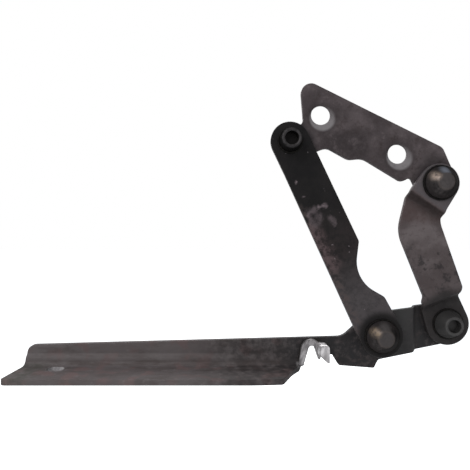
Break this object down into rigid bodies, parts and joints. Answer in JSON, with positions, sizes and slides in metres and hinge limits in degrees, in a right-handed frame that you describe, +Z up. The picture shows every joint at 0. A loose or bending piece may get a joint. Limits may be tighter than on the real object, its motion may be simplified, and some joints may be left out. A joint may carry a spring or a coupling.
{
  "type": "hood hinge",
  "caption": "Four-bar hood hinge: a slotted flanged arm and a bolt-on bracket joined by two riveted steel links, one of them a stepped gooseneck.",
  "frame": {"origin": "middle of the flange's underside, along its length and its reach", "axes": "+X along the arm towards the pivots, +Y along the hinge pins away from their front heads, +Z up from the flange to the web"},
  "size_m": [0.2448, 0.0355, 0.156],
  "materials": {
    "arm_paint": "worn grey-brown primer, dirty in the bends",
    "bracket_paint": "worn grey-brown primer",
    "left_link_paint": "scuffed black paint",
    "right_link_paint": "worn grey-brown paint",
    "rivet_steel": "dark oiled steel",
    "bush_bronze": "dull bronze",
    "washer_steel": "dull plated steel"
  },
  "bodies": {
    "arm": {"arm": "arm_paint", "left_low_rivet": "rivet_steel", "left_low_spacer": "washer_steel", "left_low_rear_washer": "washer_steel", "right_low_rivet": "rivet_steel", "right_low_rear_washer": "washer_steel"},
    "left_link": {"left_link": "left_link_paint", "left_low_bush": "bush_bronze", "left_top_rivet": "rivet_steel", "left_top_rear_washer": "washer_steel"},
    "right_link": {"right_link": "right_link_paint", "right_low_bush": "bush_bronze", "right_top_rivet": "rivet_steel", "right_top_wear_washer": "bush_bronze", "right_top_rear_washer": "washer_steel"},
    "bracket": {"bracket": "bracket_paint", "left_top_bush": "bush_bronze"}
  },
  "joints": [
    {"name": "left_link_turn", "type": "hinge", "parent": "arm", "child": "left_link", "pos_m": [0.1233, 0.012, 0.0203], "axis": [0, -1, 0], "range_deg": [-30, 47]},
    {"name": "right_link_turn", "type": "hinge", "parent": "arm", "child": "right_link", "pos_m": [0.1625, 0.012, 0.0252], "axis": [0, -1, 0], "range_deg": [-36, 56]},
    {"name": "bracket_turn", "type": "hinge", "parent": "left_link", "child": "bracket", "pos_m": [0.0747, 0.012, 0.1239], "axis": [0, -1, 0], "range_deg": [-25, 16]}
  ],
  "couplings": [
    {"joint": "right_link_turn", "follows": "left_link_turn", "ratio": 1.176},
    {"joint": "bracket_turn", "follows": "left_link_turn", "ratio": -0.52}
  ]
}
